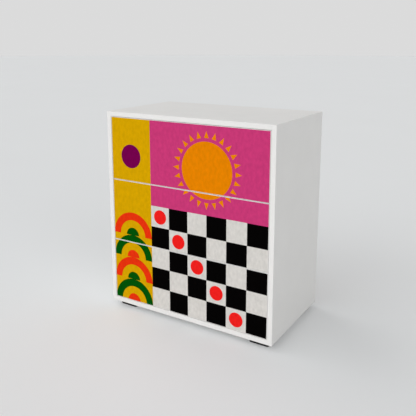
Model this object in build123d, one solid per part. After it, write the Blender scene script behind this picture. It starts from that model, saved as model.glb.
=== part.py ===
from build123d import *
import os

# Chest of handleless drawers in millimetres.
# The origin is on the floor below the middle of the chest, +Z is up and the fronts face -Y.

# Carcass without its feet
CARCASS_WIDTH = 700.0
CARCASS_DEPTH = 404.0
CARCASS_HEIGHT = 760.0
BOARD = 18.0
EDGE_EASE = 0.5

# Back panel, held in a groove all round
BACK_THICKNESS = 3.0
BACK_INSET = 10.0
BACK_GROOVE_DEPTH = 8.0
GROOVE_PLAY = 0.2
GROOVE_END_PLAY = 0.5

# Drawer fronts, inset in the carcass
DRAWERS = ("lower", "middle", "upper")
FRONT_GAP = 1.5
FRONT_RECESS = 1.0

# Drawer boxes behind the fronts
BOX_BOARD = 12.0
BOX_RISE = 22.0
BOX_DROP = 45.0
BOX_BOTTOM_THICKNESS = 3.0
BOX_BOTTOM_RISE = 12.0
BOX_GROOVE_DEPTH = 6.0

# Telescopic runners, one pair per drawer
RAIL_THICKNESS = 12.7
RAIL_HEIGHT = 45.0
RAIL_SHEET = 1.2
RAIL_BEND = 1.2
RAIL_LIP = 1.4
RAIL_TIP_CLEARANCE = 0.9
RAIL_WEB_CLEARANCE = 1.3
RAIL_RISE = 70.0
RAIL_FRONT_CLEARANCE = 2.0
MIDDLE_RAIL_END_CLEARANCE = 4.0
RAIL_SCREW_SHARES = (0.12, 0.88)
BALL_DIAMETER = 3.0
BALL_PLAY = 0.1
CAGE_SIDE_CLEARANCE = 0.4
CAGE_END_MARGIN = 8.0

# Travel of the push latches
PRESS_TRAVEL = 3.0
EJECT_TRAVEL = 36.0

# Push latches behind the drawers
LATCH_LENGTH = 60.0
LATCH_GAP = 9.0
LATCH_REAR_CLEARANCE = 3.0
LATCH_REACH = 36.0
LATCH_WALL = 3.0
LATCH_PLATE = 3.0
LATCH_PLATE_HEIGHT = 44.0
LATCH_PLATE_CORNER = 4.0
LATCH_RIB = 4.0
LATCH_SCREW_SPREAD = 30.0
LATCH_MOUTH_LENGTH = 5.0
PLUNGER_DIAMETER = 8.0
PLUNGER_WALL = 1.1
PLUNGER_COLLAR_STEP = 1.0
PLUNGER_COLLAR_LENGTH = 4.0
PLUNGER_HEAD_STEP = 1.5
PLUNGER_HEAD_LENGTH = 4.0
PLUNGER_PLAY = 0.2
PLUNGER_REAR_CLEARANCE = 1.0
SPRING_PLAY = 0.3
SPRING_WIRE = 0.8
STRIKE_DIAMETER = 16.0
STRIKE_THICKNESS = 1.5
STRIKE_PIN_DIAMETER = 3.0
STRIKE_PIN_LENGTH = 8.0

# Feet
FOOT_WIDTH = 75.0
FOOT_DEPTH = 75.0
FOOT_SHELL_HEIGHT = 18.0
FOOT_CORNER_RADIUS = 5.0
FOOT_WALL = 3.0
FOOT_PLATE = 4.0
FOOT_RIB = 2.4
FOOT_FRONT_SETBACK = 22.0
FOOT_SIDE_MARGIN = 23.0
FOOT_SCREW_SIDE_INSET = 55.0
FOOT_SCREW_END_INSET = 20.0
GLIDE_THICKNESS = 3.0
GLIDE_MARGIN = 1.0
FOOT_CORNERS = ("front_right", "front_left", "rear_right", "rear_left")

# Sides of the round sections: the many small pins and holes have few
PIN_SIDES = 6
ROUND_SIDES = 12

# Fasteners
SCREW_DIAMETER = 3.5
SCREW_LENGTH = 12.0
SCREW_HEAD_DIAMETER = 7.0
SCREW_HEAD_HEIGHT = 1.8
SCREW_HEAD_CLEARANCE = 0.5
DOWEL_DIAMETER = 8.0
DOWEL_IN_SIDE = 10.0
DOWEL_IN_PANEL = 20.0
BOX_DOWEL_DIAMETER = 6.0
BOX_DOWEL_IN_FACE = 8.0
BOX_DOWEL_IN_END = 12.0
CAM_DIAMETER = 15.0
CAM_DEPTH = 12.5
CAM_BACKSET = 24.0
CAM_SLOT_WIDTH = 1.6
CAM_SLOT_LENGTH = 9.0
CAM_SLOT_DEPTH = 2.5
CAM_BOLT_THREAD_DIAMETER = 5.0
CAM_BOLT_THREAD_LENGTH = 11.0
CAM_BOLT_DIAMETER = 6.4
CAM_BOLT_PAST_CENTRE = 2.5
HOLE_PLAY = 0.1
HOLE_END_PLAY = 0.5
CAM_PLACE_SHARES = (-0.34, 0.34)
DOWEL_PLACE_SHARES = (-0.22, 0.22)
BOX_DOWEL_SHARES = (0.3, 0.8)

# Planes of the carcass
FOOT_HEIGHT = FOOT_SHELL_HEIGHT + GLIDE_THICKNESS
HALF_WIDTH = CARCASS_WIDTH / 2
INNER_HALF = HALF_WIDTH - BOARD
FRONT_PLANE = -CARCASS_DEPTH / 2
REAR_PLANE = CARCASS_DEPTH / 2
CARCASS_BASE = FOOT_HEIGHT
CARCASS_TOP = CARCASS_BASE + CARCASS_HEIGHT
OPENING_BASE = CARCASS_BASE + BOARD
OPENING_TOP = CARCASS_TOP - BOARD
BACK_REAR = REAR_PLANE - BACK_INSET
BACK_FRONT = BACK_REAR - BACK_THICKNESS

# Planes of a drawer, with heights counted from the lower edge of its front
FRONT_HALF = INNER_HALF - FRONT_GAP
FRONT_HEIGHT = (OPENING_TOP - OPENING_BASE - FRONT_GAP * (len(DRAWERS) + 1)) / len(DRAWERS)
FRONT_FACE = FRONT_PLANE + FRONT_RECESS
BOX_FRONT = FRONT_FACE + BOARD
BOX_REAR = BACK_FRONT - LATCH_REAR_CLEARANCE - LATCH_LENGTH - LATCH_GAP
BOX_HALF = INNER_HALF - RAIL_THICKNESS
BOX_INNER_HALF = BOX_HALF - BOX_BOARD
BOX_BASE = BOX_RISE
BOX_TOP = FRONT_HEIGHT - BOX_DROP
BOX_BOTTOM_BASE = BOX_BASE + BOX_BOTTOM_RISE
DRAWER_LEVELS = [
    OPENING_BASE + FRONT_GAP + place * (FRONT_HEIGHT + FRONT_GAP) for place in range(len(DRAWERS))
]

# Planes of a runner: each section is counted in from the carcass side, each length along Y
RAIL_LEVEL = BOX_BASE + RAIL_RISE
CABINET_RAIL_FRONT = BOX_FRONT + PRESS_TRAVEL + RAIL_FRONT_CLEARANCE
CABINET_RAIL_REAR = BOX_REAR + PRESS_TRAVEL + RAIL_FRONT_CLEARANCE
MIDDLE_RAIL_FRONT = CABINET_RAIL_FRONT + RAIL_FRONT_CLEARANCE
MIDDLE_RAIL_REAR = CABINET_RAIL_REAR - PRESS_TRAVEL - MIDDLE_RAIL_END_CLEARANCE
FULL_EXTENSION = BOX_REAR - BOX_FRONT
PULL_TRAVEL = FULL_EXTENSION - EJECT_TRAVEL
MIDDLE_PULL_SHARE = 0.5
MIDDLE_RAIL_WEB = RAIL_SHEET + SCREW_HEAD_HEIGHT + SCREW_HEAD_CLEARANCE
MIDDLE_RAIL_TIP = RAIL_THICKNESS - RAIL_SHEET - RAIL_TIP_CLEARANCE
CABINET_RAIL_TIP = MIDDLE_RAIL_TIP - RAIL_TIP_CLEARANCE
DRAWER_RAIL_TIP = MIDDLE_RAIL_WEB + RAIL_SHEET + RAIL_WEB_CLEARANCE
RACE_STEP = RAIL_SHEET + BALL_DIAMETER + 2 * BALL_PLAY
MIDDLE_RAIL_HEIGHT = RAIL_HEIGHT - 2 * RACE_STEP
DRAWER_RAIL_HEIGHT = MIDDLE_RAIL_HEIGHT - 2 * RACE_STEP

# Planes of a push latch
LATCH_FRONT = BOX_REAR + LATCH_GAP
LATCH_REAR = LATCH_FRONT + LATCH_LENGTH
LATCH_LEVEL = (BOX_BASE + BOX_TOP) / 2
LATCH_AXIS = INNER_HALF - LATCH_REACH
PLUNGER_RADIUS = PLUNGER_DIAMETER / 2
PLUNGER_BORE_RADIUS = PLUNGER_RADIUS - PLUNGER_WALL
COLLAR_RADIUS = PLUNGER_RADIUS + PLUNGER_COLLAR_STEP
LATCH_BORE_RADIUS = COLLAR_RADIUS + PLUNGER_PLAY
BARREL_RADIUS = LATCH_BORE_RADIUS + LATCH_WALL
PLUNGER_TIP = BOX_REAR + STRIKE_THICKNESS
PLUNGER_REAR = LATCH_REAR - LATCH_WALL - PRESS_TRAVEL - PLUNGER_REAR_CLEARANCE

# Centres of the feet
FOOT_X = HALF_WIDTH - FOOT_SIDE_MARGIN - FOOT_WIDTH / 2
FOOT_Y = REAR_PLANE - FOOT_FRONT_SETBACK - FOOT_DEPTH / 2


def block(across, along, up):
    """Box between a low and a high limit on each axis."""
    limits = (across, along, up)
    sizes = [high - low for low, high in limits]
    centre = [(high + low) / 2 for low, high in limits]
    return Pos(*centre) * Box(*sizes)


def eased_board(across, along, up):
    """Laminated board with eased edge bands."""
    board = block(across, along, up)
    return chamfer(board.edges(), EDGE_EASE)


def rod(radius, start, end, sides=PIN_SIDES):
    """Straight bar between two points, with a regular section."""
    reach = Vector(*end) - Vector(*start)
    section = Plane(origin=start, z_dir=reach) * RegularPolygon(radius, sides)
    return extrude(section, reach.length)


def left_of(shape):
    """The same piece on the left half of the chest."""
    return mirror(shape, about=Plane.YZ)


def both_sides(shapes):
    """The pieces of the right half and their left twins."""
    right = list(shapes)
    return right + [left_of(shape) for shape in right]


def screw(seat, towards):
    """Pan-head screw whose head sits at a point and whose shank runs towards +X or -X."""
    x, y, z = seat
    shank = rod(SCREW_DIAMETER / 2, seat, (x + towards * SCREW_LENGTH, y, z))
    head = rod(SCREW_HEAD_DIAMETER / 2, seat, (x - towards * SCREW_HEAD_HEIGHT, y, z))
    return shank + head


def screw_hole(seat, towards):
    """Room for a screw's shank, cut through all that the screw passes."""
    x, y, z = seat
    end = x + towards * (SCREW_LENGTH + HOLE_END_PLAY)
    return rod(SCREW_DIAMETER / 2 + HOLE_PLAY, seat, (end, y, z))


# Where the fasteners of the right half sit


def cabinet_rail_screw_seats():
    """Screw heads on the web of a cabinet rail."""
    length = CABINET_RAIL_REAR - CABINET_RAIL_FRONT
    x = INNER_HALF - RAIL_SHEET
    return [(x, CABINET_RAIL_FRONT + share * length, RAIL_LEVEL) for share in RAIL_SCREW_SHARES]


def drawer_rail_screw_seats():
    """Screw heads on the web of a drawer rail."""
    length = BOX_REAR - BOX_FRONT
    x = BOX_HALF + RAIL_SHEET
    return [(x, BOX_FRONT + share * length, RAIL_LEVEL) for share in RAIL_SCREW_SHARES]


def latch_screw_seats():
    """Screw heads on the plate of a latch housing, above and below its barrel."""
    x = INNER_HALF - LATCH_PLATE
    y = (LATCH_FRONT + LATCH_REAR) / 2
    half = LATCH_SCREW_SPREAD / 2
    return [(x, y, LATCH_LEVEL - half), (x, y, LATCH_LEVEL + half)]


def raised(point, level):
    """A point of a drawer at that drawer's level in the chest."""
    x, y, z = point
    return (x, y, z + level)


def joint_levels():
    """Mid-height of the bottom board and of the top board."""
    return (CARCASS_BASE + BOARD / 2, CARCASS_TOP - BOARD / 2)


def connector_places(shares):
    """Places along the depth and up the chest of one kind of corner connector."""
    return [(share * CARCASS_DEPTH, level) for share in shares for level in joint_levels()]


# Carcass


def side_panel():
    """Right side: groove for the back, and holes for connectors, runners and latches."""
    panel = eased_board(
        (INNER_HALF, HALF_WIDTH), (FRONT_PLANE, REAR_PLANE), (CARCASS_BASE, CARCASS_TOP)
    )
    cuts = [
        block(
            (INNER_HALF, INNER_HALF + BACK_GROOVE_DEPTH),
            (BACK_FRONT - GROOVE_PLAY, BACK_REAR),
            (OPENING_BASE - BACK_GROOVE_DEPTH, OPENING_TOP + BACK_GROOVE_DEPTH),
        )
    ]
    for y, z in connector_places(DOWEL_PLACE_SHARES):
        end = INNER_HALF + DOWEL_IN_SIDE + HOLE_END_PLAY
        cuts.append(rod(DOWEL_DIAMETER / 2 + HOLE_PLAY, (INNER_HALF, y, z), (end, y, z)))
    for y, z in connector_places(CAM_PLACE_SHARES):
        end = INNER_HALF + CAM_BOLT_THREAD_LENGTH + HOLE_END_PLAY
        cuts.append(rod(CAM_BOLT_THREAD_DIAMETER / 2 + HOLE_PLAY, (INNER_HALF, y, z), (end, y, z)))
    for level in DRAWER_LEVELS:
        for seat in cabinet_rail_screw_seats() + latch_screw_seats():
            cuts.append(screw_hole(raised(seat, level), 1))
    return panel - cuts


def level_panel(low, high, inner_face, outward):
    """Top or bottom board between the sides, with its connectors' holes on the inner face."""
    panel = block((-INNER_HALF, INNER_HALF), (FRONT_PLANE, REAR_PLANE), (low, high))
    panel = chamfer(panel.edges().filter_by(Axis.X), EDGE_EASE)
    middle = (low + high) / 2
    groove_floor = inner_face + outward * BACK_GROOVE_DEPTH
    cuts = [
        block(
            (-INNER_HALF, INNER_HALF),
            (BACK_FRONT - GROOVE_PLAY, BACK_REAR),
            sorted((inner_face, groove_floor)),
        )
    ]
    holes = []
    for share in DOWEL_PLACE_SHARES:
        y = share * CARCASS_DEPTH
        end = INNER_HALF - DOWEL_IN_PANEL - HOLE_END_PLAY
        holes.append(rod(DOWEL_DIAMETER / 2 + HOLE_PLAY, (INNER_HALF, y, middle), (end, y, middle)))
    for share in CAM_PLACE_SHARES:
        y = share * CARCASS_DEPTH
        x = INNER_HALF - CAM_BACKSET
        floor = inner_face + outward * (CAM_DEPTH + HOLE_PLAY)
        bolt_end = x - CAM_BOLT_PAST_CENTRE - HOLE_PLAY
        holes.append(rod(CAM_DIAMETER / 2 + HOLE_PLAY, (x, y, inner_face), (x, y, floor), ROUND_SIDES))
        holes.append(
            rod(CAM_BOLT_DIAMETER / 2 + HOLE_PLAY, (INNER_HALF, y, middle), (bolt_end, y, middle))
        )
    return panel - cuts - both_sides(holes)


def foot_screw_places():
    """Screws through the plate of the right front foot, in its inner half."""
    x = HALF_WIDTH - FOOT_SIDE_MARGIN - FOOT_SCREW_SIDE_INSET
    front = FRONT_PLANE + FOOT_FRONT_SETBACK
    return [(x, front + FOOT_SCREW_END_INSET), (x, front + FOOT_DEPTH - FOOT_SCREW_END_INSET)]


def at_all_feet(shape):
    """A piece of the right front foot, repeated at the four corners."""
    front_pair = both_sides([shape])
    rear_pair = [mirror(piece, about=Plane.XZ) for piece in front_pair]
    return front_pair + rear_pair


def bottom_panel():
    """Bottom board, which also takes the screws of the feet."""
    panel = level_panel(CARCASS_BASE, OPENING_BASE, OPENING_BASE, -1)
    holes = []
    for x, y in foot_screw_places():
        end = CARCASS_BASE - FOOT_PLATE + SCREW_LENGTH + HOLE_END_PLAY
        holes += at_all_feet(rod(SCREW_DIAMETER / 2 + HOLE_PLAY, (x, y, CARCASS_BASE), (x, y, end)))
    return panel - holes


def back_panel():
    """Hardboard back, standing on the floor of the bottom groove."""
    half = INNER_HALF + BACK_GROOVE_DEPTH - GROOVE_END_PLAY
    return block(
        (-half, half),
        (BACK_FRONT, BACK_REAR),
        (OPENING_BASE - BACK_GROOVE_DEPTH, OPENING_TOP + BACK_GROOVE_DEPTH - GROOVE_END_PLAY),
    )


# Feet


def foot():
    """Right front foot: a moulded shell, open below, with cross ribs and a plate on top."""
    plate_base = CARCASS_BASE - FOOT_PLATE
    outline = RectangleRounded(FOOT_WIDTH, FOOT_DEPTH, FOOT_CORNER_RADIUS)
    hollow = Rectangle(FOOT_WIDTH - 2 * FOOT_WALL, FOOT_DEPTH - 2 * FOOT_WALL)
    shell = extrude(outline, FOOT_SHELL_HEIGHT)
    shell -= extrude(hollow, FOOT_SHELL_HEIGHT - FOOT_PLATE)
    ribs = Rectangle(FOOT_WIDTH - FOOT_WALL, FOOT_RIB) + Rectangle(FOOT_RIB, FOOT_DEPTH - FOOT_WALL)
    shell += extrude(ribs, FOOT_SHELL_HEIGHT - FOOT_PLATE)
    shell = Pos(FOOT_X, -FOOT_Y, GLIDE_THICKNESS) * shell
    holes = [
        rod(SCREW_DIAMETER / 2 + HOLE_PLAY, (x, y, plate_base), (x, y, CARCASS_BASE))
        for x, y in foot_screw_places()
    ]
    return shell - holes


def glide():
    """Felt pad that closes the right front foot and rests on the floor."""
    outline = Rectangle(FOOT_WIDTH - 2 * GLIDE_MARGIN, FOOT_DEPTH - 2 * GLIDE_MARGIN)
    outline = chamfer(outline.vertices(), FOOT_CORNER_RADIUS - GLIDE_MARGIN)
    return Pos(FOOT_X, -FOOT_Y, 0) * extrude(outline, GLIDE_THICKNESS)


def foot_screw(x, y):
    """Screw of the right front foot, driven up into the bottom board."""
    seat = (x, y, CARCASS_BASE - FOOT_PLATE)
    shank = rod(SCREW_DIAMETER / 2, seat, raised(seat, SCREW_LENGTH))
    head = rod(SCREW_HEAD_DIAMETER / 2, seat, raised(seat, -SCREW_HEAD_HEIGHT))
    return shank + head


# Corner connectors of the carcass


def carcass_dowels():
    """Wooden dowels between the sides and the top and bottom boards."""
    start = INNER_HALF + DOWEL_IN_SIDE
    end = INNER_HALF - DOWEL_IN_PANEL
    places = connector_places(DOWEL_PLACE_SHARES)
    return both_sides([rod(DOWEL_DIAMETER / 2, (start, y, z), (end, y, z)) for y, z in places])


def cam_bolts():
    """Steel bolts screwed into the sides, each reaching into a cam."""
    bolts = []
    for y, z in connector_places(CAM_PLACE_SHARES):
        seat = (INNER_HALF, y, z)
        end = INNER_HALF - CAM_BACKSET - CAM_BOLT_PAST_CENTRE
        thread_end = (INNER_HALF + CAM_BOLT_THREAD_LENGTH, y, z)
        thread = rod(CAM_BOLT_THREAD_DIAMETER / 2, seat, thread_end)
        bolts.append(thread + rod(CAM_BOLT_DIAMETER / 2, seat, (end, y, z)))
    return both_sides(bolts)


def cam_lock(y, inner_face, outward):
    """Cam disc with a cross slot for the screwdriver and a way in for its bolt."""
    x = INNER_HALF - CAM_BACKSET
    middle = inner_face + outward * BOARD / 2
    floor = inner_face + outward * CAM_DEPTH
    disc = rod(CAM_DIAMETER / 2, (x, y, inner_face), (x, y, floor), ROUND_SIDES)
    bolt_end = x - CAM_BOLT_PAST_CENTRE - HOLE_PLAY
    cuts = [rod(CAM_BOLT_DIAMETER / 2 + HOLE_PLAY, (INNER_HALF, y, middle), (bolt_end, y, middle))]
    half_length = CAM_SLOT_LENGTH / 2
    half_width = CAM_SLOT_WIDTH / 2
    up = sorted((inner_face, inner_face + outward * CAM_SLOT_DEPTH))
    cuts.append(block((x - half_length, x + half_length), (y - half_width, y + half_width), up))
    cuts.append(block((x - half_width, x + half_width), (y - half_length, y + half_length), up))
    return disc - cuts


def cam_locks():
    """Cams in the upper face of the bottom board and in the lower face of the top board."""
    cams = []
    for share in CAM_PLACE_SHARES:
        cams.append(cam_lock(share * CARCASS_DEPTH, OPENING_BASE, -1))
        cams.append(cam_lock(share * CARCASS_DEPTH, OPENING_TOP, 1))
    return both_sides(cams)


# Drawer boxes, with heights counted from the lower edge of the front


def box_bottom_groove():
    """Groove that runs round the inside of a drawer box and into its front."""
    half = BOX_INNER_HALF + BOX_GROOVE_DEPTH
    return block(
        (-half, half),
        (BOX_FRONT - BOX_GROOVE_DEPTH, BOX_REAR - BOX_BOARD + BOX_GROOVE_DEPTH),
        (BOX_BOTTOM_BASE, BOX_BOTTOM_BASE + BOX_BOTTOM_THICKNESS + GROOVE_PLAY),
    )


def box_dowel_levels():
    """Heights of the dowels at the corners of a drawer box."""
    height = BOX_TOP - BOX_BASE
    return [BOX_BASE + share * height for share in BOX_DOWEL_SHARES]


def box_dowels(radius_play, end_play):
    """Dowels of the right corners, or with play the holes that take them."""
    radius = BOX_DOWEL_DIAMETER / 2 + radius_play
    side_middle = BOX_HALF - BOX_BOARD / 2
    back_middle = BOX_REAR - BOX_BOARD / 2
    in_face = BOX_DOWEL_IN_FACE + end_play
    in_end = BOX_DOWEL_IN_END + end_play
    dowels = []
    for z in box_dowel_levels():
        start = (side_middle, BOX_FRONT - in_face, z)
        dowels.append(rod(radius, start, (side_middle, BOX_FRONT + in_end, z)))
        start = (BOX_INNER_HALF + in_face, back_middle, z)
        dowels.append(rod(radius, start, (BOX_INNER_HALF - in_end, back_middle, z)))
    return both_sides(dowels)


def box_cuts():
    """All that is cut from the boards of a drawer box."""
    return [box_bottom_groove()] + box_dowels(HOLE_PLAY, HOLE_END_PLAY)


def drawer_front():
    """Inset front board that the drawer is pushed and pulled by."""
    return eased_board((-FRONT_HALF, FRONT_HALF), (FRONT_FACE, BOX_FRONT), (0, FRONT_HEIGHT)) - box_cuts()


def drawer_side():
    """Right side of a drawer box, with the holes for its rail's screws."""
    side = block((BOX_INNER_HALF, BOX_HALF), (BOX_FRONT, BOX_REAR), (BOX_BASE, BOX_TOP))
    return side - box_cuts() - [screw_hole(seat, -1) for seat in drawer_rail_screw_seats()]


def drawer_back():
    """Back of a drawer box, with the holes for the pins of the strike plates."""
    back = block(
        (-BOX_INNER_HALF, BOX_INNER_HALF), (BOX_REAR - BOX_BOARD, BOX_REAR), (BOX_BASE, BOX_TOP)
    )
    pin_end = BOX_REAR - STRIKE_PIN_LENGTH - HOLE_END_PLAY
    pin_hole = strike_pin(STRIKE_PIN_DIAMETER / 2 + HOLE_PLAY, pin_end)
    return back - box_cuts() - both_sides([pin_hole])


def drawer_bottom():
    """Hardboard bottom, lying on the lower face of its groove."""
    half = BOX_INNER_HALF + BOX_GROOVE_DEPTH - GROOVE_END_PLAY
    front = BOX_FRONT - BOX_GROOVE_DEPTH + GROOVE_END_PLAY
    rear = BOX_REAR - BOX_BOARD + BOX_GROOVE_DEPTH - GROOVE_END_PLAY
    up = (BOX_BOTTOM_BASE, BOX_BOTTOM_BASE + BOX_BOTTOM_THICKNESS)
    return block((-half, half), (front, rear), up)


def strike_pin(radius, end):
    """Pin of the right strike plate, from the drawer's back to an end inside it."""
    return rod(radius, (LATCH_AXIS, BOX_REAR, LATCH_LEVEL), (LATCH_AXIS, end, LATCH_LEVEL))


def strike_plate():
    """Steel disc that the right latch pulls on, with the pin that holds it in the drawer's back."""
    disc = along_latch(STRIKE_DIAMETER / 2, BOX_REAR, BOX_REAR + STRIKE_THICKNESS)
    return disc + strike_pin(STRIKE_PIN_DIAMETER / 2, BOX_REAR - STRIKE_PIN_LENGTH)


# Telescopic runners of the right side


def rail(web, tip, height, front, rear):
    """Rolled channel: its web and its flange tips are counted in from the carcass side."""
    opening = 1 if tip > web else -1
    outer = height / 2
    inner = outer - RAIL_SHEET
    lip_end = inner - RAIL_LIP
    upper = [
        (web + opening * RAIL_SHEET, inner),
        (tip - opening * RAIL_SHEET, inner),
        (tip - opening * RAIL_SHEET, lip_end),
        (tip, lip_end),
        (tip, outer),
        (web, outer),
    ]
    lower = [(depth, -z) for depth, z in reversed(upper)]
    section = make_face(Polyline([(-depth, z) for depth, z in upper + lower], close=True))
    web_corners = [corner for corner in section.vertices() if abs(corner.X + web) < RAIL_SHEET / 2]
    section = chamfer(web_corners, RAIL_BEND)
    end = Plane(origin=(INNER_HALF, rear, RAIL_LEVEL), x_dir=(1, 0, 0), z_dir=(0, -1, 0))
    return extrude(end * section, rear - front)


def cabinet_rail():
    """Outer rail, screwed to the carcass side."""
    channel = rail(0, CABINET_RAIL_TIP, RAIL_HEIGHT, CABINET_RAIL_FRONT, CABINET_RAIL_REAR)
    return channel - [screw_hole(seat, 1) for seat in cabinet_rail_screw_seats()]


def middle_rail():
    """Rail that runs in the outer rail and carries the drawer's rail."""
    return rail(
        MIDDLE_RAIL_WEB, MIDDLE_RAIL_TIP, MIDDLE_RAIL_HEIGHT, MIDDLE_RAIL_FRONT, MIDDLE_RAIL_REAR
    )


def drawer_rail():
    """Inner rail, screwed to the side of the drawer box."""
    channel = rail(RAIL_THICKNESS, DRAWER_RAIL_TIP, DRAWER_RAIL_HEIGHT, BOX_FRONT, BOX_REAR)
    return channel - [screw_hole(seat, -1) for seat in drawer_rail_screw_seats()]


def ball_cages():
    """Ball strips above and below the middle rail, in its outer and its inner races."""
    middle_travel = EJECT_TRAVEL + MIDDLE_PULL_SHARE * PULL_TRAVEL
    inner_travel = PULL_TRAVEL - MIDDLE_PULL_SHARE * PULL_TRAVEL
    outer_race = (
        (MIDDLE_RAIL_WEB + CAGE_SIDE_CLEARANCE, CABINET_RAIL_TIP - RAIL_SHEET - CAGE_SIDE_CLEARANCE),
        (CABINET_RAIL_FRONT + middle_travel + CAGE_END_MARGIN, MIDDLE_RAIL_REAR - CAGE_END_MARGIN),
        MIDDLE_RAIL_HEIGHT / 2 + BALL_PLAY,
    )
    inner_race = (
        (DRAWER_RAIL_TIP + CAGE_SIDE_CLEARANCE, MIDDLE_RAIL_TIP - RAIL_SHEET - CAGE_SIDE_CLEARANCE),
        (MIDDLE_RAIL_FRONT + CAGE_END_MARGIN, BOX_REAR - inner_travel - CAGE_END_MARGIN),
        DRAWER_RAIL_HEIGHT / 2 + BALL_PLAY,
    )
    strips = []
    for (near, far), along, low in (outer_race, inner_race):
        across = (INNER_HALF - far, INNER_HALF - near)
        high = low + BALL_DIAMETER
        strips.append(block(across, along, (RAIL_LEVEL + low, RAIL_LEVEL + high)))
        strips.append(block(across, along, (RAIL_LEVEL - high, RAIL_LEVEL - low)))
    return both_sides(strips)


# Push latches of the right side


def along_latch(radius, front, rear, sides=ROUND_SIDES):
    """Bar on the axis of the right latch."""
    start = (LATCH_AXIS, front, LATCH_LEVEL)
    return rod(radius, start, (LATCH_AXIS, rear, LATCH_LEVEL), sides)


def latch_housing():
    """Moulded housing: a plate on the carcass side, a barrel for the plunger and ribs between."""
    along = (LATCH_FRONT, LATCH_REAR)
    half_plate = LATCH_PLATE_HEIGHT / 2
    plate = block(
        (INNER_HALF - LATCH_PLATE, INNER_HALF), along, (LATCH_LEVEL - half_plate, LATCH_LEVEL + half_plate)
    )
    plate = chamfer(plate.edges().filter_by(Axis.X), LATCH_PLATE_CORNER)
    across = (LATCH_AXIS, INNER_HALF - LATCH_PLATE)
    half_rib = LATCH_RIB / 2
    web = block(across, along, (LATCH_LEVEL - half_rib, LATCH_LEVEL + half_rib))
    end_height = (LATCH_LEVEL - BARREL_RADIUS, LATCH_LEVEL + BARREL_RADIUS)
    end_rib = block(across, (LATCH_REAR - LATCH_RIB, LATCH_REAR), end_height)
    body = plate + web + end_rib + along_latch(BARREL_RADIUS, LATCH_FRONT, LATCH_REAR)
    cuts = [
        along_latch(PLUNGER_RADIUS + PLUNGER_PLAY, LATCH_FRONT, LATCH_FRONT + LATCH_MOUTH_LENGTH),
        along_latch(LATCH_BORE_RADIUS, LATCH_FRONT + LATCH_MOUTH_LENGTH, LATCH_REAR - LATCH_WALL),
    ]
    cuts += [screw_hole(seat, 1) for seat in latch_screw_seats()]
    return body - cuts


def latch_plunger():
    """Hollow plunger with a magnet head in front and a collar that keeps it in the housing."""
    body = along_latch(PLUNGER_RADIUS + PLUNGER_HEAD_STEP, PLUNGER_TIP, PLUNGER_TIP + PLUNGER_HEAD_LENGTH)
    body += along_latch(PLUNGER_RADIUS, PLUNGER_TIP + PLUNGER_HEAD_LENGTH, PLUNGER_REAR)
    body += along_latch(COLLAR_RADIUS, PLUNGER_REAR - PLUNGER_COLLAR_LENGTH, PLUNGER_REAR)
    return body - along_latch(PLUNGER_BORE_RADIUS, PLUNGER_TIP + PLUNGER_HEAD_LENGTH, PLUNGER_REAR)


def latch_spring():
    """Sleeve in the place of the coil spring, from the housing's rear wall into the plunger."""
    radius = PLUNGER_BORE_RADIUS - SPRING_PLAY
    front = PLUNGER_TIP + PLUNGER_HEAD_LENGTH
    rear = LATCH_REAR - LATCH_WALL
    bore = along_latch(radius - SPRING_WIRE, front, rear, PIN_SIDES)
    return along_latch(radius, front, rear, PIN_SIDES) - bore


# The chest: each name with its piece, or with its separate pieces where they are alike

right_side = side_panel()
nodes = {
    "left_side": [left_of(right_side)],
    "right_side": [right_side],
    "top_panel": [level_panel(OPENING_TOP, CARCASS_TOP, OPENING_TOP, 1)],
    "bottom_panel": [bottom_panel()],
    "back_panel": [back_panel()],
    "carcass_dowels": carcass_dowels(),
    "cam_bolts": cam_bolts(),
    "cam_locks": cam_locks(),
    "foot_glides": at_all_feet(glide()),
    "foot_screws": [],
    "cabinet_screws": [],
    "latch_housings": [],
}
for x, y in foot_screw_places():
    nodes["foot_screws"] += at_all_feet(foot_screw(x, y))
for corner, piece in zip(FOOT_CORNERS, at_all_feet(foot())):
    nodes[f"{corner}_foot"] = [piece]

cabinet_screws = both_sides(screw(seat, 1) for seat in cabinet_rail_screw_seats() + latch_screw_seats())
housings = both_sides([latch_housing()])
right_drawer_side = drawer_side()
drawer_nodes = {
    "drawer_front": [drawer_front()],
    "drawer_right_side": [right_drawer_side],
    "drawer_left_side": [left_of(right_drawer_side)],
    "drawer_back": [drawer_back()],
    "drawer_bottom": [drawer_bottom()],
    "drawer_dowels": box_dowels(0, 0),
    "drawer_screws": both_sides(screw(seat, -1) for seat in drawer_rail_screw_seats()),
    "strike_plates": both_sides([strike_plate()]),
    "cabinet_rails": both_sides([cabinet_rail()]),
    "middle_rails": both_sides([middle_rail()]),
    "drawer_rails": both_sides([drawer_rail()]),
    "ball_cages": ball_cages(),
    "latch_plungers": both_sides([latch_plunger()]),
    "latch_springs": both_sides([latch_spring()]),
}
for drawer, level in zip(DRAWERS, DRAWER_LEVELS):
    place = Pos(0, 0, level)
    for name, pieces in drawer_nodes.items():
        nodes[f"{drawer}_{name}"] = [place * piece for piece in pieces]
    nodes["cabinet_screws"] += [place * piece for piece in cabinet_screws]
    nodes["latch_housings"] += [place * piece for piece in housings]

os.makedirs("parts", exist_ok=True)
for name, pieces in nodes.items():
    export_step(Compound(children=pieces), f"parts/{name}.step")
print("full extension", FULL_EXTENSION, "pull travel", PULL_TRAVEL)
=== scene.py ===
import math

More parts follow.
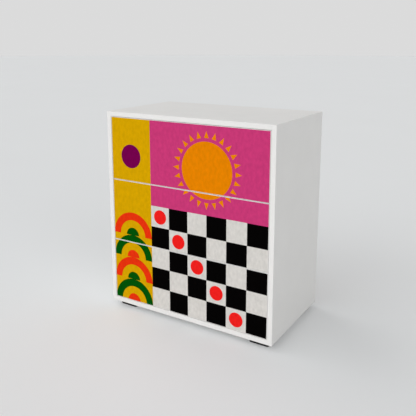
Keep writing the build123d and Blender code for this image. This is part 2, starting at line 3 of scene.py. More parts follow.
import bmesh
import bpy
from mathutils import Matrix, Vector


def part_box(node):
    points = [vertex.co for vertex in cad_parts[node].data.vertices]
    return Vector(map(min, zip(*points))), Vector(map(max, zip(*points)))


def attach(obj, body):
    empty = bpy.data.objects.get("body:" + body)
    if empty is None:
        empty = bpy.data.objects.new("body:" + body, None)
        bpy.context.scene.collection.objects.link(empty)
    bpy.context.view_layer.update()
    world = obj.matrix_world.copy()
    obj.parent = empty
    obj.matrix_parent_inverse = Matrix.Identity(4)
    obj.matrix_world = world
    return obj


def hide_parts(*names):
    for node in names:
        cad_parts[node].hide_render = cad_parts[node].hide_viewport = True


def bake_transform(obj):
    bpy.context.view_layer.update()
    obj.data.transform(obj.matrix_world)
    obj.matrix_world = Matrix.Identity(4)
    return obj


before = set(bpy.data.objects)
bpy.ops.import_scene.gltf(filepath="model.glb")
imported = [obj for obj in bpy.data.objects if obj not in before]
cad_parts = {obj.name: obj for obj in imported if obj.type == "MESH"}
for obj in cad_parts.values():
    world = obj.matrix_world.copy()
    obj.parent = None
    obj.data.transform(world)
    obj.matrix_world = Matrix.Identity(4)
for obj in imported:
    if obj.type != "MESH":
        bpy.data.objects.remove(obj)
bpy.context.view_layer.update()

# Looks of a chest with three push-to-open drawers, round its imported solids. Lengths are in metres.
MM = 0.001
AXES = range(3)
DRAWERS = ("lower", "middle", "upper")

# Camera: angles in degrees, lens and sensor in millimetres, shift as a share of the frame
CAMERA_PLACE = (1.0895, -1.8208, 1.0399)
CAMERA_AZIMUTH = 31.52
CAMERA_ELEVATION = 11.25
CAMERA_LENS = 49.20
CAMERA_SENSOR = 36.0
CAMERA_SHIFT_SHARE = -0.130
LEVEL_TILT = 90.0

# Light: angles in degrees, and tones where 1 is white
SKY_STRENGTH = 0.295
LAMP_SPREAD = 60.0
LAMPS = (
    {"name": "front_left", "strength": 1.15, "azimuth": -30.0, "elevation": 20.0},
    {"name": "front_right", "strength": 1.05, "azimuth": 45.0, "elevation": 25.0},
    {"name": "left", "strength": 1.02, "azimuth": -95.0, "elevation": 40.0},
)
BACKDROP_TONE = 0.71
FLOOR_GLOW_SHARE = 0.2
FLOOR_RADIUS = 40.0
FLOOR_SEGMENTS = 96

# Colours of the finishes in plain light, as red, green and blue on a screen, each up to the full level
FULL_LEVEL = 255
SCREEN_TOE_SHARE = 0.04045
SCREEN_TOE_SLOPE = 12.92
SCREEN_OFFSET = 0.055
SCREEN_POWER = 2.4
OPAQUE = 1.0
WHITE = (255, 255, 255)
LAMINATE = (233, 232, 230)
FLOOR_COLOUR = (242, 244, 245)
PAPER = (212, 209, 204)
PINK = (199, 57, 117)
ORANGE = (228, 130, 0)
BLACK = (3, 2, 2)
YELLOW = (211, 161, 0)
RED = (238, 32, 30)
GREEN = (0, 80, 6)
VERMILION = (228, 50, 13)
PURPLE = (115, 0, 75)
BOX_WHITE = (222, 222, 219)
HARDBOARD_BROWN = (122, 84, 54)
BEECH = (205, 170, 128)
ZINC = (188, 190, 193)
BALL_STEEL = (170, 171, 174)
GREY_PLASTIC = (148, 150, 152)
LIGHT_PLASTIC = (206, 207, 208)
BLACK_PLASTIC = (10, 10, 11)
FELT = (13, 13, 14)

# Finishes: noise with its scale per metre, tones as shares of the colour, and relief
NO_STRETCH = (1.0, 1.0, 1.0)
NOISE_SPAN_SHARES = (0.3, 0.7)

LAMINATE_GLOSS = {"roughness": 0.55, "specular": 0.25}
LAMINATE_CLOUD = {"scale": 9.0, "detail": 3.0}
LAMINATE_GRAIN = {"scale": 900.0, "detail": 2.0}
LAMINATE_TONE_SHARES = (0.985, 1.012)
LAMINATE_ROUGHNESS_SPAN = (0.48, 0.62)
LAMINATE_RELIEF = {"strength": 0.10, "distance": 0.05 * MM}

PRINT_GLOSS = {"roughness": 0.62, "specular": 0.01}
PRINT_MOTTLE = {"scale": 90.0, "detail": 8.0, "stretch": (1.0, 1.0, 0.6)}
PRINT_GRAIN = {"scale": 700.0, "detail": 3.0}
PRINT_TONE_SHARES = (0.92, 1.08)
PRINT_ROUGHNESS_SPAN = (0.55, 0.72)
PRINT_RELIEF = {"strength": 0.12, "distance": 0.04 * MM}

HARDBOARD_GLOSS = {"roughness": 0.6, "specular": 0.3}
HARDBOARD_FIBRE = {"scale": 260.0, "detail": 6.0}
HARDBOARD_TONE_SHARES = (0.72, 1.22)
HARDBOARD_RELIEF = {"strength": 0.25, "distance": 0.1 * MM}
BACK_WHITE_SIDE = (0.0, -1.0, 0.0)
BOTTOM_WHITE_SIDE = (0.0, 0.0, 1.0)

BEECH_GLOSS = {"roughness": 0.55, "specular": 0.3}
BEECH_GRAIN = {"scale": 400.0, "detail": 5.0, "stretch": (0.15, 1.0, 1.0)}
BEECH_TONE_SHARES = (0.8, 1.1)

ZINC_GLOSS = {"roughness": 0.34, "specular": 0.5, "metallic": 1.0}
ZINC_STRETCH = (1.0, 0.04, 1.0)
BALL_STEEL_GLOSS = {"roughness": 0.25, "specular": 0.5, "metallic": 1.0}
METAL_MARKS = {"scale": 700.0, "detail": 4.0}
METAL_TONE_SHARES = (0.88, 1.05)
METAL_ROUGHNESS_SHARES = (0.8, 1.25)

GREY_PLASTIC_GLOSS = {"roughness": 0.5, "specular": 0.4}
LIGHT_PLASTIC_GLOSS = {"roughness": 0.4, "specular": 0.4}
BLACK_PLASTIC_GLOSS = {"roughness": 0.6, "specular": 0.12}
PLASTIC_GRAIN = {"scale": 1100.0, "detail": 2.0}
PLASTIC_TONE_SHARES = (0.92, 1.08)
PLASTIC_ROUGHNESS_SHARES = (0.85, 1.15)
PLASTIC_RELIEF = {"strength": 0.2, "distance": 0.05 * MM}

FELT_GLOSS = {"roughness": 0.95, "specular": 0.1}
FELT_FIBRE = {"scale": 1500.0, "detail": 6.0}
FELT_TONE_SHARES = (0.6, 1.7)
FELT_RELIEF = {"strength": 0.6, "distance": 0.2 * MM}

FLOOR_GLOSS = {"roughness": 0.8, "specular": 0.0}
FLOOR_CLOUD = {"scale": 0.8, "detail": 3.0}
FLOOR_TONE_SHARES = (0.995, 1.005)

# Fasteners, ball strips and springs. A curve's points are shares of its length and of its radius.
WELD_DISTANCE = 0.001 * MM
SMOOTH_ANGLE = 35.0
CROSS_ARMS = 4
CROSS_ARM_STEP = math.tau / CROSS_ARMS
CROSS_REACH_SHARE = 0.50
CROSS_WIDTH_SHARE = 0.13
CROSS_FLOOR_SHARE = 0.60
CROSS_DEPTH_SHARE = 0.70
SCREW_HEAD_SHARE = 0.13
SCREW_SHANK_SHARE = 0.50
SCREW_HEAD_CURVE_SHARES = ((0.00, 0.60), (0.12, 0.82), (0.45, 1.00), (1.00, 1.00))
THREAD_TURNS = 9
THREAD_TIP_TURNS = 3
THREAD_CORE_SHARE = 0.72
THREAD_POINT_SHARE = 0.15
DOWEL_END_SHARE = 0.78
DOWEL_CHAMFER_SHARE = 0.05
DOWEL_FLUTES = 12
DOWEL_FLUTE_SHARE = 0.10
DOWEL_POINTS = 48
CAM_BOLT_CURVE_SHARES = (
    (0.000, 0.55),
    (0.035, 0.95),
    (0.090, 0.95),
    (0.120, 0.60),
    (0.190, 0.60),
    (0.210, 1.00),
    (0.707, 1.00),
)
CAM_BOLT_THREAD_SHARE = 0.78
ROUND_POINTS = 24
BALL_PITCH = 9.0 * MM
BALL_POINTS = 10
BALL_RINGS = 6
CAGE_SHEET = 0.5 * MM
CAGE_CORNER_SHARE = 0.5
SPRING_WIRE = 0.8 * MM
SPRING_PITCH = 2.6 * MM
SPRING_STEPS = 12
WIRE_POINTS = 6

# Print on the fronts: a sheet with fields and motifs in thin layers
PRINT_INSET = 1.6 * MM
PRINT_SHEET = 0.20 * MM
PRINT_LAYER = 0.10 * MM
CHECK_COLUMNS = 6
CHECK_ROWS = 5
CHECK_ROWS_PER_DRAWER = 3
CHECK_GAP = 0.02 * MM
CHECK_DOT_SHARE = 0.34
DOTTED_DIAGONAL = 4
ARCHES = 4
ARCH_COLOURS = 2
ARCH_BAND_SHARE = 1.00
ARCH_RING_SHARE = 0.66
ARCH_CORE_SHARE = 0.33
COLUMN_DISC_SHARE = 0.50
COLUMN_DISC_PLACE_SHARE = 0.80
SUN_SHARE = 0.32
SUN_RAYS = 24
RAY_FOOT_SHARE = 1.12
RAY_TIP_SHARE = 1.36
RAY_WIDTH_SHARE = 0.62
DISC_POINTS = 96


def linear_channel(share):
    """Linear value of one channel, by the standard screen curve."""
    if share <= SCREEN_TOE_SHARE:
        return share / SCREEN_TOE_SLOPE
    return ((share + SCREEN_OFFSET) / (1 + SCREEN_OFFSET)) ** SCREEN_POWER


def linear(colour):
    """Colour in the render's own linear values."""
    return (*[linear_channel(level / FULL_LEVEL) for level in colour], OPAQUE)


def shaded(colour, share):
    """A darker or lighter tone of a colour, at a share of its light."""
    red, green, blue, alpha = linear(colour)
    return (share * red, share * green, share * blue, alpha)


# Materials


def new_material(name, colour, roughness, specular, metallic=0.0):
    """Material whose constants sit on the shader's own sockets."""
    material = bpy.data.materials.new(name)
    material.use_nodes = True
    shader = material.node_tree.nodes["Principled BSDF"]
    shader.inputs["Base Color"].default_value = linear(colour)
    shader.inputs["Roughness"].default_value = roughness
    shader.inputs["Specular IOR Level"].default_value = specular
    shader.inputs["Metallic"].default_value = metallic
    return material


def add_noise(material, scale, detail, stretch=NO_STRETCH):
    """Noise in the part's frame. A stretch under 1 along an axis draws it out there."""
    tree = material.node_tree
    place = tree.nodes.new("ShaderNodeTexCoord")
    mapping = tree.nodes.new("ShaderNodeMapping")
    noise = tree.nodes.new("ShaderNodeTexNoise")
    mapping.inputs["Scale"].default_value = stretch
    noise.inputs["Scale"].default_value = scale
    noise.inputs["Detail"].default_value = detail
    tree.links.new(place.outputs["Object"], mapping.inputs["Vector"])
    tree.links.new(mapping.outputs["Vector"], noise.inputs["Vector"])
    return noise.outputs["Fac"]


def vary_colour(material, factor, colour, tone_shares):
    """Base colour that runs from one tone of a colour to another with a factor. Returns its socket."""
    tree = material.node_tree
    ramp = tree.nodes.new("ShaderNodeValToRGB")
    for element, place, share in zip(ramp.color_ramp.elements, NOISE_SPAN_SHARES, tone_shares):
        element.position = place
        element.color = shaded(colour, share)
    tree.links.new(factor, ramp.inputs["Fac"])
    tree.links.new(ramp.outputs["Color"], tree.nodes["Principled BSDF"].inputs["Base Color"])
    return ramp.outputs["Color"]


def vary_roughness(material, factor, low, high):
    """Roughness that runs from one value to another with a factor."""
    tree = material.node_tree
    span = tree.nodes.new("ShaderNodeMapRange")
    span.inputs["To Min"].default_value = low
    span.inputs["To Max"].default_value = high
    tree.links.new(factor, span.inputs["Value"])
    tree.links.new(span.outputs["Result"], tree.nodes["Principled BSDF"].inputs["Roughness"])


def add_relief(material, factor, strength, distance):
    """Fine relief from a factor."""
    tree = material.node_tree
    bump = tree.nodes.new("ShaderNodeBump")
    bump.inputs["Strength"].default_value = strength
    bump.inputs["Distance"].default_value = distance
    tree.links.new(factor, bump.inputs["Height"])
    tree.links.new(bump.outputs["Normal"], tree.nodes["Principled BSDF"].inputs["Normal"])


def laminate_material(name, colour):
    """Melamine board: even tone, faint clouding and the fine grain of the press sheet."""
    material = new_material(name, colour, **LAMINATE_GLOSS)
    cloud = add_noise(material, **LAMINATE_CLOUD)
    grain = add_noise(material, **LAMINATE_GRAIN)
    vary_colour(material, cloud, colour, LAMINATE_TONE_SHARES)
    vary_roughness(material, grain, *LAMINATE_ROUGHNESS_SPAN)
    add_relief(material, grain, **LAMINATE_RELIEF)
    return material


def print_material(name, colour):
    """Matt printed film: the ink is mottled by the paper-like grain under it."""
    material = new_material(name, colour, **PRINT_GLOSS)
    mottle = add_noise(material, **PRINT_MOTTLE)
    grain = add_noise(material, **PRINT_GRAIN)
    vary_colour(material, mottle, colour, PRINT_TONE_SHARES)
    vary_roughness(material, grain, *PRINT_ROUGHNESS_SPAN)
    add_relief(material, grain, **PRINT_RELIEF)
    return material


def hardboard_material(name, white_side):
    """Pressed fibres, speckled brown, and lacquered white on the side that faces one direction."""
    material = new_material(name, HARDBOARD_BROWN, **HARDBOARD_GLOSS)
    fibre = add_noise(material, **HARDBOARD_FIBRE)
    brown = vary_colour(material, fibre, HARDBOARD_BROWN, HARDBOARD_TONE_SHARES)
    add_relief(material, fibre, **HARDBOARD_RELIEF)
    tree = material.node_tree
    surface = tree.nodes.new("ShaderNodeNewGeometry")
    facing = tree.nodes.new("ShaderNodeVectorMath")
    facing.operation = "DOT_PRODUCT"
    facing.inputs[1].default_value = white_side
    sides = tree.nodes.new("ShaderNodeMix")
    sides.data_type = "RGBA"
    sides.inputs["B"].default_value = linear(BOX_WHITE)
    tree.links.new(surface.outputs["Normal"], facing.inputs[0])
    tree.links.new(facing.outputs["Value"], sides.inputs["Factor"])
    tree.links.new(brown, sides.inputs["A"])
    tree.links.new(sides.outputs["Result"], tree.nodes["Principled BSDF"].inputs["Base Color"])
    return material


def beech_material(name):
    """Turned beech with drawn-out grain."""
    material = new_material(name, BEECH, **BEECH_GLOSS)
    grain = add_noise(material, **BEECH_GRAIN)
    vary_colour(material, grain, BEECH, BEECH_TONE_SHARES)
    return material


def metal_material(name, colour, gloss, stretch):
    """Plated steel with fine marks, drawn out where the sheet was rolled."""
    material = new_material(name, colour, **gloss)
    marks = add_noise(material, stretch=stretch, **METAL_MARKS)
    vary_colour(material, marks, colour, METAL_TONE_SHARES)
    vary_roughness(material, marks, *[share * gloss["roughness"] for share in METAL_ROUGHNESS_SHARES])
    return material


def plastic_material(name, colour, gloss):
    """Moulded plastic with an eroded grain."""
    material = new_material(name, colour, **gloss)
    grain = add_noise(material, **PLASTIC_GRAIN)
    vary_colour(material, grain, colour, PLASTIC_TONE_SHARES)
    vary_roughness(material, grain, *[share * gloss["roughness"] for share in PLASTIC_ROUGHNESS_SHARES])
    add_relief(material, grain, **PLASTIC_RELIEF)
    return material


def felt_material(name):
    """Pressed felt with loose fibres."""
    material = new_material(name, FELT, **FELT_GLOSS)
    fibre = add_noise(material, **FELT_FIBRE)
    vary_colour(material, fibre, FELT, FELT_TONE_SHARES)
    add_relief(material, fibre, **FELT_RELIEF)
    return material


white_laminate = laminate_material("white_laminate", LAMINATE)
box_board = laminate_material("box_board", BOX_WHITE)
back_hardboard = hardboard_material("back_hardboard", BACK_WHITE_SIDE)
bottom_hardboard = hardboard_material("bottom_hardboard", BOTTOM_WHITE_SIDE)
beech = beech_material("beech")
zinc = metal_material("zinc_steel", ZINC, ZINC_GLOSS, ZINC_STRETCH)
ball_steel = metal_material("ball_steel", BALL_STEEL, BALL_STEEL_GLOSS, NO_STRETCH)
grey_plastic = plastic_material("grey_plastic", GREY_PLASTIC, GREY_PLASTIC_GLOSS)
light_plastic = plastic_material("light_plastic", LIGHT_PLASTIC, LIGHT_PLASTIC_GLOSS)
black_plastic = plastic_material("black_plastic", BLACK_PLASTIC, BLACK_PLASTIC_GLOSS)
black_felt = felt_material("black_felt")

CARCASS_FINISHES = {
    "left_side": white_laminate,
    "right_side": white_laminate,
    "top_panel": white_laminate,
    "bottom_panel": white_laminate,
    "back_panel": back_hardboard,
    "carcass_dowels": beech,
    "cam_bolts": zinc,
    "cam_locks": zinc,
    "foot_glides": black_felt,
    "foot_screws": zinc,
    "cabinet_screws": zinc,
    "latch_housings": grey_plastic,
    "front_right_foot": black_plastic,
    "front_left_foot": black_plastic,
    "rear_right_foot": black_plastic,
    "rear_left_foot": black_plastic,
}
DRAWER_FINISHES = {
    "drawer_front": white_laminate,
    "drawer_right_side": box_board,
    "drawer_left_side": box_board,
    "drawer_back": box_board,
    "drawer_bottom": bottom_hardboard,
    "drawer_dowels": beech,
    "drawer_screws": zinc,
    "strike_plates": ball_steel,
    "cabinet_rails": zinc,
    "middle_rails": zinc,
    "drawer_rails": zinc,
    "ball_cages": ball_steel,
    "latch_plungers": light_plastic,
    "latch_springs": ball_steel,
}


def finish_node(name, material):
    """Gives a node its one material."""
    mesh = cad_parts[name].data
    mesh.materials.clear()
    mesh.materials.append(material)


for name, material in CARCASS_FINISHES.items():
    finish_node(name, material)
for drawer in DRAWERS:
    for name, material in DRAWER_FINISHES.items():
        finish_node(f"{drawer}_{name}", material)


# Shapes and pieces


def skin(shape, loops):
    """Closed form through loops of equally many vertices."""
    for low, high in zip(loops, loops[1:]):
        for here in range(len(low)):
            after = (here + 1) % len(low)
            shape.faces.new((low[here], low[after], high[after], high[here]))
    shape.faces.new(loops[0][::-1])
    shape.faces.new(loops[-1])


def add_piece(name, shape, material):
    """New piece from a shape."""
    bmesh.ops.recalc_face_normals(shape, faces=shape.faces)
    mesh = bpy.data.meshes.new(name)
    shape.to_mesh(mesh)
    shape.free()
    mesh.polygons.foreach_set("use_smooth", [True] * len(mesh.polygons))
    mesh.set_sharp_from_angle(angle=math.radians(SMOOTH_ANGLE))
    mesh.materials.append(material)
    piece = bpy.data.objects.new(name, mesh)
    bpy.context.scene.collection.objects.link(piece)
    return piece


# Fasteners, ball strips and springs: round forms in the place of the nodes' own few-sided solids


def solid_boxes(node):
    """Lowest and highest corner of each solid of a node."""
    shape = bmesh.new()
    shape.from_mesh(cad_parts[node].data)
    bmesh.ops.remove_doubles(shape, verts=shape.verts, dist=WELD_DISTANCE)
    boxes = []
    waiting = set(shape.verts)
    while waiting:
        group = [waiting.pop()]
        for vertex in group:
            touching = {edge.other_vert(vertex) for edge in vertex.link_edges} & waiting
            waiting -= touching
            group.extend(touching)
        low = Vector([min(vertex.co[axis] for vertex in group) for axis in AXES])
        high = Vector([max(vertex.co[axis] for vertex in group) for axis in AXES])
        boxes.append((low, high))
    shape.free()
    return sorted(boxes, key=lambda box: tuple(box[0]))


def onward(box):
    """Way of a solid that runs along its axis."""
    return 1


def outward(box):
    """Way of a solid that runs away from the middle of the chest."""
    low, high = box
    return 1 if low.x + high.x > 0 else -1


def inward(box):
    """Way of a solid that runs to the middle of the chest."""
    return -outward(box)


def spindle(box, way):
    """Start, direction, length and inner radius of a long solid."""
    low, high = box
    size = high - low
    long_axis = max(AXES, key=lambda axis: size[axis])
    length = size[long_axis]
    direction = Vector((0, 0, 0))
    direction[long_axis] = way
    start = (low + high - direction * length) / 2
    radius = min(size[axis] for axis in AXES if axis != long_axis) / 2
    return start, direction, length, radius


def evenly(count):
    """Angles round a full turn."""
    return [math.tau * number / count for number in range(count)]


def circle(radius):
    """Radius by angle of a round section."""
    return lambda angle: radius


def fluted(radius):
    """Radius by angle of a dowel with flutes."""
    return lambda angle: radius * (1 - DOWEL_FLUTE_SHARE * (1 + math.cos(DOWEL_FLUTES * angle)) / 2)


def cross(radius):
    """Radius by angle of a screwdriver's cross in a head."""
    reach = CROSS_REACH_SHARE * radius
    half_width = CROSS_WIDTH_SHARE * radius

    def edge(angle):
        off_arm = abs((angle + CROSS_ARM_STEP / 2) % CROSS_ARM_STEP - CROSS_ARM_STEP / 2)
        tip = reach / math.cos(off_arm)
        return min(tip, half_width / math.sin(off_arm)) if off_arm else tip

    return edge


def cross_angles():
    """Angles at the middles and corners of a cross's tips, along its arms and at its inner corners."""
    tip = math.atan(CROSS_WIDTH_SHARE / CROSS_REACH_SHARE)
    inner = CROSS_ARM_STEP / 2
    side = (tip + inner) / 2
    steps = (0, tip, side, inner, CROSS_ARM_STEP - side, CROSS_ARM_STEP - tip)
    return [arm * CROSS_ARM_STEP + step for arm in range(CROSS_ARMS) for step in steps]


def lofted(shape, rings, angles, start, direction):
    """Closed form through rings. Each ring has its distance from the start and its radius by angle."""
    turn = direction.to_track_quat("Z", "Y")
    loops = []
    for distance, radius in rings:
        places = [(radius(a) * math.cos(a), radius(a) * math.sin(a), distance) for a in angles]
        loops.append([shape.verts.new(start + turn @ Vector(place)) for place in places])
    skin(shape, loops)


def thread(first, last, radius):
    """Rings of a thread that narrows to a point."""
    step = (last - first) / THREAD_TURNS
    rings = []
    for number in range(THREAD_TURNS):
        crest = radius * min(1, (THREAD_TURNS - number) / THREAD_TIP_TURNS)
        rings.append((first + number * step, circle(THREAD_CORE_SHARE * crest)))
        rings.append((first + (number + 1 / 2) * step, circle(crest)))
    rings.append((last, circle(THREAD_POINT_SHARE * radius)))
    return rings


def screw(shape, box, way):
    """Pan-head screw with a cross in its head."""
    start, direction, length, radius = spindle(box, way)
    head = SCREW_HEAD_SHARE * length
    rings = [
        (CROSS_DEPTH_SHARE * head, cross(CROSS_FLOOR_SHARE * radius)),
        (0, cross(radius)),
    ]
    rings += [(share * head, circle(width * radius)) for share, width in SCREW_HEAD_CURVE_SHARES]
    rings += thread(head, length, SCREW_SHANK_SHARE * radius)
    lofted(shape, rings, cross_angles(), start, direction)


def cam_bolt(shape, box, way):
    """Connecting bolt: head and neck for the cam, shank and thread."""
    start, direction, length, radius = spindle(box, way)
    rings = [(share * length, circle(width * radius)) for share, width in CAM_BOLT_CURVE_SHARES]
    shank_end, _ = rings[-1]
    rings += thread(shank_end, length, CAM_BOLT_THREAD_SHARE * radius)
    lofted(shape, rings, evenly(ROUND_POINTS), start, direction)


def dowel(shape, box, way):
    """Fluted dowel with chamfered ends."""
    start, direction, length, radius = spindle(box, way)
    chamfer = DOWEL_CHAMFER_SHARE * length
    end = circle(DOWEL_END_SHARE * radius)
    rings = [(0, end), (chamfer, fluted(radius)), (length - chamfer, fluted(radius)), (length, end)]
    lofted(shape, rings, evenly(DOWEL_POINTS), start, direction)


def ball_strip(shape, box, way):
    """Row of balls in a sheet strip with cut corners."""
    start, direction, length, radius = spindle(box, way)
    low, high = box
    corner = CAGE_CORNER_SHARE * (high.x - low.x)
    outline = [
        (low.x, low.y + corner),
        (low.x + corner / 2, low.y),
        (high.x - corner / 2, low.y),
        (high.x, low.y + corner),
        (high.x, high.y - corner),
        (high.x - corner / 2, high.y),
        (low.x + corner / 2, high.y),
        (low.x, high.y - corner),
    ]
    level = (low.z + high.z - CAGE_SHEET) / 2
    lower = [shape.verts.new((x, y, level)) for x, y in outline]
    upper = [shape.verts.new((x, y, level + CAGE_SHEET)) for x, y in outline]
    skin(shape, [lower, upper])
    balls = int(length / BALL_PITCH)
    polar = [math.pi * (number + 1 / 2) / BALL_RINGS for number in range(BALL_RINGS)]
    rings = [(-radius * math.cos(angle), circle(radius * math.sin(angle))) for angle in polar]
    for number in range(balls):
        middle = start + direction * length * (number + 1 / 2) / balls
        lofted(shape, rings, evenly(BALL_POINTS), middle, direction)


def coil(shape, box, way):
    """Coil spring: a wire that winds along its axis."""
    start, direction, length, radius = spindle(box, way)
    turn = direction.to_track_quat("Z", "Y")
    half_wire = SPRING_WIRE / 2
    steps = round(length / SPRING_PITCH) * SPRING_STEPS
    loops = []
    for step in range(steps + 1):
        wound = math.tau * step / SPRING_STEPS
        climb = half_wire + (length - SPRING_WIRE) * step / steps
        loop = []
        for angle in evenly(WIRE_POINTS):
            out = radius - half_wire + half_wire * math.cos(angle)
            rise = climb + half_wire * math.sin(angle)
            place = Vector((out * math.cos(wound), out * math.sin(wound), rise))
            loop.append(shape.verts.new(start + turn @ place))
        loops.append(loop)
    skin(shape, loops)


def refine(node, form, way):
    """Piece with a round form in the place of each solid of a node."""
    shape = bmesh.new()
    for box in solid_boxes(node):
        form(shape, box, way(box))
    piece = add_piece(f"{node}_refined", shape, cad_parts[node].data.materials[0])
    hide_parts(node)
    return piece


def add_springs(drawer):
    """Coil springs in the place of a drawer's latch springs."""
    springs = refine(f"{drawer}_latch_springs", coil, onward)
    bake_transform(springs)


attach(refine("carcass_dowels", dowel, onward), "carcass")
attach(refine("cam_bolts", cam_bolt, outward), "carcass")
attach(refine("cabinet_screws", screw, outward), "carcass")
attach(refine("foot_screws", screw, onward), "carcass")
for drawer in DRAWERS:
    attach(refine(f"{drawer}_drawer_dowels", dowel, onward), f"{drawer}_drawer")
    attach(refine(f"{drawer}_drawer_screws", screw, inward), f"{drawer}_drawer")
    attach(refine(f"{drawer}_ball_cages", ball_strip, onward), f"{drawer}_runners")
    add_springs(drawer)


# Print: outlines are lists of (x, z) points over the three fronts


def rectangle(left, bottom, right, top):
    """Upright rectangle."""
    return [(left, bottom), (right, bottom), (right, top), (left, top)]


def disc(x, z, radius, turn=math.tau):
    """Disc, or the part of one that a turn sweeps from its right end."""
    steps = DISC_POINTS if turn == math.tau else DISC_POINTS + 1
    angles = [turn * step / DISC_POINTS for step in range(steps)]
    return [(x + radius * math.cos(angle), z + radius * math.sin(angle)) for angle in angles]


def clip(outline, axis, limit, keep):
    """The part of a convex outline on one side of an upright or level line."""
    kept = []
    for here, after in zip(outline, outline[1:] + outline[:1]):
        inside = (here[axis] - limit) * keep >= 0
        inside_after = (after[axis] - limit) * keep >= 0
        if inside:
            kept.append(here)
        if inside != inside_after:
            share = (limit - here[axis]) / (after[axis] - here[axis])
            kept.append(tuple(a + share * (b - a) for a, b in zip(here, after)))
    return kept


def within(outline, window):
    """The part of a convex outline inside a rectangle."""
    (left, bottom), _, (right, top), _ = window
    for axis, limit, keep in ((0, left, 1), (0, right, -1), (1, bottom, 1), (1, top, -1)):
        outline = clip(outline, axis, limit, keep)
    return outline


def plates(name, outlines, rear, thickness, material, body):
    """Thin plates of one colour on a front, as one piece that rides with its drawer."""
    shape = bmesh.new()
    for outline in outlines:
        back = [shape.verts.new((x, rear, z)) for x, z in outline]
        front = [shape.verts.new((x, rear - thickness, z)) for x, z in outline]
        skin(shape, [front, back])
    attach(add_piece(name, shape, material), body)


def print_extent():
    """Left, bottom, right and top of the three fronts together, and the step from one front to the next."""
    lowest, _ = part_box("lower_drawer_front")
    middle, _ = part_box("middle_drawer_front")
    _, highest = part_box("upper_drawer_front")
    return lowest.x, lowest.z, highest.x, highest.z, middle.z - lowest.z


left, bottom, right, top, drawer_step = print_extent()
check = drawer_step / CHECK_ROWS_PER_DRAWER
column_right = right - CHECK_COLUMNS * check
column_middle = (left + column_right) / 2
column_radius = (column_right - left) / 2
column_disc_z = bottom + COLUMN_DISC_PLACE_SHARE * (top - bottom)
checks_top = bottom + CHECK_ROWS * check
sun_x = (column_right + right) / 2
sun_z = (checks_top + top) / 2
sun_radius = SUN_SHARE * (top - checks_top)


def check_places():
    """Row and column of every check."""
    return [(row, column) for row in range(CHECK_ROWS) for column in range(CHECK_COLUMNS)]


def check_corner(row, column):
    """Lower left corner of a check."""
    return (column_right + column * check, bottom + row * check)


def check_outline(row, column):
    """One square of the checks, a hair clear of those that it would meet at its corners."""
    x, z = check_corner(row, column)
    side = check - CHECK_GAP
    return rectangle(x + CHECK_GAP, z + CHECK_GAP, x + side, z + side)


def check_dot(row, column):
    """Disc in the middle of a square."""
    x, z = check_corner(row, column)
    return disc(x + check / 2, z + check / 2, CHECK_DOT_SHARE * check)


def arches(first, share):
    """The left column's arches of one colour, from the first, at a share of their full radius."""
    return [
        disc(column_middle, bottom + step * column_radius, share * column_radius, turn=math.pi)
        for step in range(first, ARCHES, ARCH_COLOURS)
    ]


def sun_ray(number):
    """Triangle that points away from the sun."""
    turn = math.tau / SUN_RAYS
    half_foot = RAY_WIDTH_SHARE * turn / 2
    corners = (
        (number * turn - half_foot, RAY_FOOT_SHARE),
        (number * turn, RAY_TIP_SHARE),
        (number * turn + half_foot, RAY_FOOT_SHARE),
    )
    outline = []
    for angle, share in corners:
        x = sun_x + share * sun_radius * math.cos(angle)
        z = sun_z + share * sun_radius * math.sin(angle)
        outline.append((x, z))
    return outline


INKS = {
    "yellow": YELLOW,
    "pink": PINK,
    "black": BLACK,
    "green": GREEN,
    "vermilion": VERMILION,
    "purple": PURPLE,
    "orange": ORANGE,
    "red": RED,
}
LAYERS = {
    "field": {
        "yellow": [rectangle(left, bottom, column_right, top)],
        "pink": [rectangle(column_right, checks_top, right, top)],
        "black": [check_outline(*place) for place in check_places() if sum(place) % 2 == 1],
    },
    "motif": {
        "green": arches(0, ARCH_BAND_SHARE),
        "vermilion": arches(1, ARCH_BAND_SHARE),
        "purple": [disc(column_middle, column_disc_z, COLUMN_DISC_SHARE * column_radius)],
        "orange": [disc(sun_x, sun_z, sun_radius)] + [sun_ray(number) for number in range(SUN_RAYS)],
        "red": [check_dot(*place) for place in check_places() if sum(place) == DOTTED_DIAGONAL],
    },
    "ring": {
        "yellow": arches(0, ARCH_RING_SHARE) + arches(1, ARCH_RING_SHARE),
    },
    "core": {
        "vermilion": arches(0, ARCH_CORE_SHARE),
        "green": arches(1, ARCH_CORE_SHARE),
    },
}


def print_window(low, high):
    """Outline of the print on one front, inside the front's white edge."""
    return rectangle(
        low.x + PRINT_INSET,
        low.z + PRINT_INSET,
        high.x - PRINT_INSET,
        high.z - PRINT_INSET,
    )


def print_front(drawer, sheet_material, ink_materials):
    """Sheet, fields and motifs on one front."""
    low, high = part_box(f"{drawer}_drawer_front")
    window = print_window(low, high)
    body = f"{drawer}_drawer"
    rear = low.y
    plates(f"{drawer}_print_sheet", [window], rear, PRINT_SHEET, sheet_material, body)
    rear -= PRINT_SHEET
    for layer, parts in LAYERS.items():
        for ink, outlines in parts.items():
            shown = [part for part in (within(outline, window) for outline in outlines) if part]
            if shown:
                plates(f"{drawer}_print_{layer}_{ink}", shown, rear, PRINT_LAYER, ink_materials[ink], body)
        rear -= PRINT_LAYER


paper = print_material("print_paper", PAPER)
ink_materials = {ink: print_material(f"print_{ink}", colour) for ink, colour in INKS.items()}
for drawer in DRAWERS:
    print_front(drawer, paper, ink_materials)


# Stage, light and camera


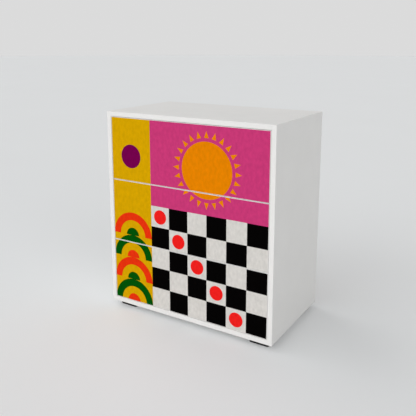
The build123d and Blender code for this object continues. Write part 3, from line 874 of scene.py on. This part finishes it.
def seeing_rays(tree):
    """Factor that is 1 on the rays that look at the stage and 0 on those that carry its light."""
    rays = tree.nodes.new("ShaderNodeLightPath")
    seen = rays.outputs["Is Camera Ray"]
    for kind in ("Is Glossy Ray", "Is Transmission Ray"):
        either = tree.nodes.new("ShaderNodeMath")
        either.operation = "MAXIMUM"
        tree.links.new(seen, either.inputs[0])
        tree.links.new(rays.outputs[kind], either.inputs[1])
        seen = either.outputs["Value"]
    return seen


def floor_material():
    """Pale floor with a faint cloud. A share of what is seen of it has the backdrop's even tone."""
    material = new_material("floor", FLOOR_COLOUR, **FLOOR_GLOSS)
    cloud = add_noise(material, **FLOOR_CLOUD)
    vary_colour(material, cloud, FLOOR_COLOUR, FLOOR_TONE_SHARES)
    tree = material.node_tree
    glow = tree.nodes.new("ShaderNodeEmission")
    glow.inputs["Strength"].default_value = BACKDROP_TONE
    part = tree.nodes.new("ShaderNodeMath")
    part.operation = "MULTIPLY"
    part.inputs[1].default_value = FLOOR_GLOW_SHARE
    mix = tree.nodes.new("ShaderNodeMixShader")
    tree.links.new(seeing_rays(tree), part.inputs[0])
    tree.links.new(part.outputs["Value"], mix.inputs["Fac"])
    tree.links.new(tree.nodes["Principled BSDF"].outputs["BSDF"], mix.inputs[1])
    tree.links.new(glow.outputs["Emission"], mix.inputs[2])
    tree.links.new(mix.outputs["Shader"], tree.nodes["Material Output"].inputs["Surface"])
    return material


def add_floor():
    """Round floor that reaches to the horizon."""
    shape = bmesh.new()
    bmesh.ops.create_circle(shape, cap_ends=True, radius=FLOOR_RADIUS, segments=FLOOR_SEGMENTS)
    mesh = bpy.data.meshes.new("floor")
    shape.to_mesh(mesh)
    shape.free()
    mesh.materials.append(floor_material())
    floor = bpy.data.objects.new("floor", mesh)
    bpy.context.scene.collection.objects.link(floor)


def add_background(tree, strength):
    """White background of one strength."""
    background = tree.nodes.new("ShaderNodeBackground")
    background.inputs["Color"].default_value = linear(WHITE)
    background.inputs["Strength"].default_value = strength
    return background.outputs["Background"]


def add_sky():
    """Even light from all round. The camera and reflections see the backdrop's tone in its place."""
    world = bpy.data.worlds.new("studio")
    world.use_nodes = True
    bpy.context.scene.world = world
    tree = world.node_tree
    tree.nodes.clear()
    mix = tree.nodes.new("ShaderNodeMixShader")
    output = tree.nodes.new("ShaderNodeOutputWorld")
    tree.links.new(seeing_rays(tree), mix.inputs["Fac"])
    tree.links.new(add_background(tree, SKY_STRENGTH), mix.inputs[1])
    tree.links.new(add_background(tree, BACKDROP_TONE), mix.inputs[2])
    tree.links.new(mix.outputs["Shader"], output.inputs["Surface"])


def looking(azimuth, elevation):
    """Rotation of a lamp or camera that looks along +Y and down by an elevation, turned by an azimuth."""
    return (math.radians(LEVEL_TILT - elevation), 0, math.radians(azimuth))


def add_lamp(name, strength, azimuth, elevation):
    """Broad soft lamp."""
    lamp = bpy.data.lights.new(name, "SUN")
    lamp.energy = strength
    lamp.angle = math.radians(LAMP_SPREAD)
    sun = bpy.data.objects.new(name, lamp)
    sun.rotation_euler = looking(azimuth, elevation)
    bpy.context.scene.collection.objects.link(sun)


def add_camera():
    """Camera at the photograph's viewing angle."""
    lens = bpy.data.cameras.new("camera")
    lens.lens = CAMERA_LENS
    lens.sensor_width = CAMERA_SENSOR
    lens.shift_y = CAMERA_SHIFT_SHARE
    camera = bpy.data.objects.new("camera", lens)
    camera.location = CAMERA_PLACE
    camera.rotation_euler = looking(CAMERA_AZIMUTH, CAMERA_ELEVATION)
    bpy.context.scene.collection.objects.link(camera)
    bpy.context.scene.camera = camera


add_floor()
add_sky()
for lamp in LAMPS:
    add_lamp(**lamp)
add_camera()
bpy.context.scene.view_settings.view_transform = "Standard"
